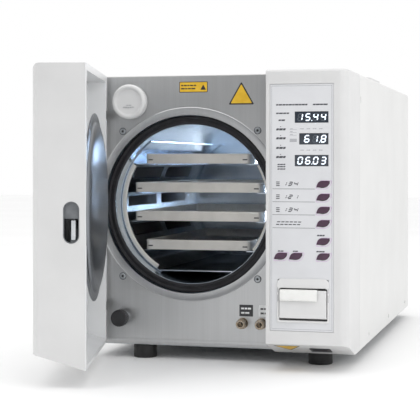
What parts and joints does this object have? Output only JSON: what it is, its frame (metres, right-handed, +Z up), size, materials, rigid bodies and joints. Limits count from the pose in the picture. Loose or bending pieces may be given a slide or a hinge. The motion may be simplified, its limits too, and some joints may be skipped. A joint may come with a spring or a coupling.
{
  "type": "benchtop autoclave",
  "caption": "White benchtop steam autoclave, door open to the left on a round steam chamber with sliding trays, control column with keys and printer at the right.",
  "frame": {"origin": "on the bench, at the middle of the four feet", "axes": "+Z up; +Y from the front to the rear, along the chamber; +X to the right as seen from the front"},
  "size_m": [0.4557, 0.9679, 0.442],
  "materials": {
    "white_coat": "satin",
    "white_plastic": "satin",
    "brushed_steel": "brushed",
    "polished_steel": "polished",
    "galvanised": "satin",
    "seal_rubber": "matte",
    "foot_rubber": "matte",
    "insulation": "matte",
    "tray_metal": "matte",
    "panel_film": "satin",
    "display_window": "gloss",
    "circuit_board": "satin",
    "key_plastic": "satin",
    "paper": "matte",
    "black_plastic": "satin",
    "grey_plastic": "satin",
    "liner_plastic": "satin",
    "chrome": "polished",
    "nickel_brass": "polished",
    "tank_plastic": "satin",
    "cast_grey": "matte"
  },
  "bodies": {
    "autoclave": {"base_pan": "galvanised", "feet": "foot_rubber", "screws": "chrome", "outer_cover": "white_coat", "rear_panel": "white_coat", "front_plate": "brushed_steel", "chamber_vessel": "polished_steel", "chamber_flange": "polished_steel", "door_gasket": "seal_rubber", "heater_bands": "galvanised", "insulation_jacket": "insulation", "chamber_saddles": "galvanised", "column_housing": "white_plastic", "control_panel": "panel_film", "display_lenses": "display_window", "control_board": "circuit_board", "printer_frame": "white_plastic", "switch_body": "black_plastic", "lock_actuator": "black_plastic", "hinge_brackets": "brushed_steel", "filter_socket": "grey_plastic", "knob_bush": "chrome", "coupling_bodies": "nickel_brass", "water_tanks": "tank_plastic", "vacuum_pump": "cast_grey", "condenser": "galvanised", "steam_generator": "brushed_steel", "power_inlet": "black_plastic"},
    "door": {"door_shell": "white_plastic", "door_liner": "liner_plastic", "plate_mount": "brushed_steel", "strike_pocket": "grey_plastic", "door_knuckles": "brushed_steel"},
    "strike_roller": {"strike_roller": "chrome"},
    "rack": {"tray_rack": "polished_steel"},
    "closing_disc": {"closing_plate": "polished_steel"},
    "tray_1": {"tray_1": "tray_metal"},
    "tray_2": {"tray_2": "tray_metal"},
    "tray_3": {"tray_3": "tray_metal"},
    "tray_4": {"tray_4": "tray_metal"},
    "key_cycle_1": {"key_cycle_1": "key_plastic"},
    "key_cycle_2": {"key_cycle_2": "key_plastic"},
    "key_cycle_3": {"key_cycle_3": "key_plastic"},
    "key_cycle_4": {"key_cycle_4": "key_plastic"},
    "key_start": {"key_start": "key_plastic"},
    "key_power": {"key_power": "key_plastic"},
    "key_print": {"key_print": "key_plastic"},
    "key_set": {"key_set": "key_plastic"},
    "printer_lid": {"printer_lid": "white_plastic", "paper_strip": "paper"},
    "platen_roller": {"platen_roller": "seal_rubber"},
    "paper_roll": {"paper_roll": "paper"},
    "rocker": {"rocker": "black_plastic"},
    "lock_bolt": {"lock_bolt": "chrome"},
    "filter_cap": {"filter_cap": "white_plastic"},
    "knob": {"knob": "black_plastic"},
    "coupling_sleeve_1": {"coupling_sleeve_1": "nickel_brass"},
    "coupling_sleeve_2": {"coupling_sleeve_2": "nickel_brass"},
    "fill_lid": {"fill_lid": "white_plastic"},
    "fan_rotor": {"fan_rotor": "black_plastic"}
  },
  "joints": [
    {"name": "door_hinge", "type": "hinge", "parent": "autoclave", "child": "door", "pos_m": [-0.2074, -0.307, 0.237], "axis": [0, 0, -1], "range_deg": [-76, 30]},
    {"name": "disc_press_slide", "type": "slide", "parent": "door", "child": "closing_disc", "axis": [0.9703, 0.2419, 0], "range_m": [0, 0.013]},
    {"name": "strike_roller_spin", "type": "hinge", "parent": "door", "child": "strike_roller", "pos_m": [-0.14126, -0.57228, 0.207], "axis": [0, 0, 1], "continuous": true},
    {"name": "rack_slide", "type": "slide", "parent": "autoclave", "child": "rack", "axis": [0, -1, 0], "range_m": [0, 0.045]},
    {"name": "tray_1_slide", "type": "slide", "parent": "rack", "child": "tray_1", "axis": [0, -1, 0], "range_m": [0, 0.16]},
    {"name": "tray_2_slide", "type": "slide", "parent": "rack", "child": "tray_2", "axis": [0, -1, 0], "range_m": [0, 0.09]},
    {"name": "tray_3_slide", "type": "slide", "parent": "rack", "child": "tray_3", "axis": [0, -1, 0], "range_m": [0, 0.09]},
    {"name": "tray_4_slide", "type": "slide", "parent": "rack", "child": "tray_4", "axis": [0, -1, 0], "range_m": [0, 0.16]},
    {"name": "key_cycle_1_press", "type": "slide", "parent": "autoclave", "child": "key_cycle_1", "axis": [0, 1, 0], "range_m": [0, 0.0006], "stiffness_N_per_m": 2500},
    {"name": "key_cycle_2_press", "type": "slide", "parent": "autoclave", "child": "key_cycle_2", "axis": [0, 1, 0], "range_m": [0, 0.0006], "stiffness_N_per_m": 2500},
    {"name": "key_cycle_3_press", "type": "slide", "parent": "autoclave", "child": "key_cycle_3", "axis": [0, 1, 0], "range_m": [0, 0.0006], "stiffness_N_per_m": 2500},
    {"name": "key_cycle_4_press", "type": "slide", "parent": "autoclave", "child": "key_cycle_4", "axis": [0, 1, 0], "range_m": [0, 0.0006], "stiffness_N_per_m": 2500},
    {"name": "key_start_press", "type": "slide", "parent": "autoclave", "child": "key_start", "axis": [0, 1, 0], "range_m": [0, 0.0006], "stiffness_N_per_m": 2500},
    {"name": "key_power_press", "type": "slide", "parent": "autoclave", "child": "key_power", "axis": [0, 1, 0], "range_m": [0, 0.0006], "stiffness_N_per_m": 2500},
    {"name": "key_print_press", "type": "slide", "parent": "autoclave", "child": "key_print", "axis": [0, 1, 0], "range_m": [0, 0.0006], "stiffness_N_per_m": 2500},
    {"name": "key_set_press", "type": "slide", "parent": "autoclave", "child": "key_set", "axis": [0, 1, 0], "range_m": [0, 0.0006], "stiffness_N_per_m": 2500},
    {"name": "printer_lid_hinge", "type": "hinge", "parent": "autoclave", "child": "printer_lid", "pos_m": [0.1303, -0.3705, 0.08], "axis": [1, 0, 0], "range_deg": [0, 60]},
    {"name": "platen_spin", "type": "hinge", "parent": "printer_lid", "child": "platen_roller", "pos_m": [0.1303, -0.3655, 0.111], "axis": [1, 0, 0], "continuous": true},
    {"name": "paper_roll_spin", "type": "hinge", "parent": "autoclave", "child": "paper_roll", "pos_m": [0.1303, -0.343, 0.1], "axis": [1, 0, 0], "continuous": true},
    {"name": "rocker_tilt", "type": "hinge", "parent": "autoclave", "child": "rocker", "pos_m": [0.15, -0.33832, 0.03179], "axis": [1, 0, 0], "range_deg": [-14, 0]},
    {"name": "lock_bolt_slide", "type": "slide", "parent": "autoclave", "child": "lock_bolt", "axis": [-1, 0, 0], "range_m": [0, 0.022]},
    {"name": "filter_cap_turn", "type": "hinge", "parent": "autoclave", "child": "filter_cap", "pos_m": [-0.156, -0.294, 0.394], "axis": [0, -1, 0], "range_deg": [0, 90]},
    {"name": "knob_turn", "type": "hinge", "parent": "autoclave", "child": "knob", "pos_m": [-0.169, -0.301, 0.062], "axis": [0, -1, 0], "range_deg": [0, 270]},
    {"name": "coupling_sleeve_1_slide", "type": "slide", "parent": "autoclave", "child": "coupling_sleeve_1", "axis": [0, 1, 0], "range_m": [0, 0.002], "stiffness_N_per_m": 2000},
    {"name": "coupling_sleeve_2_slide", "type": "slide", "parent": "autoclave", "child": "coupling_sleeve_2", "axis": [0, 1, 0], "range_m": [0, 0.002], "stiffness_N_per_m": 2000},
    {"name": "fill_lid_lift", "type": "slide", "parent": "autoclave", "child": "fill_lid", "axis": [0, 0, 1], "range_m": [0, 0.06]},
    {"name": "fan_spin", "type": "hinge", "parent": "autoclave", "child": "fan_rotor", "pos_m": [0.143, 0.354, 0.17], "axis": [0, 1, 0], "continuous": true}
  ]
}
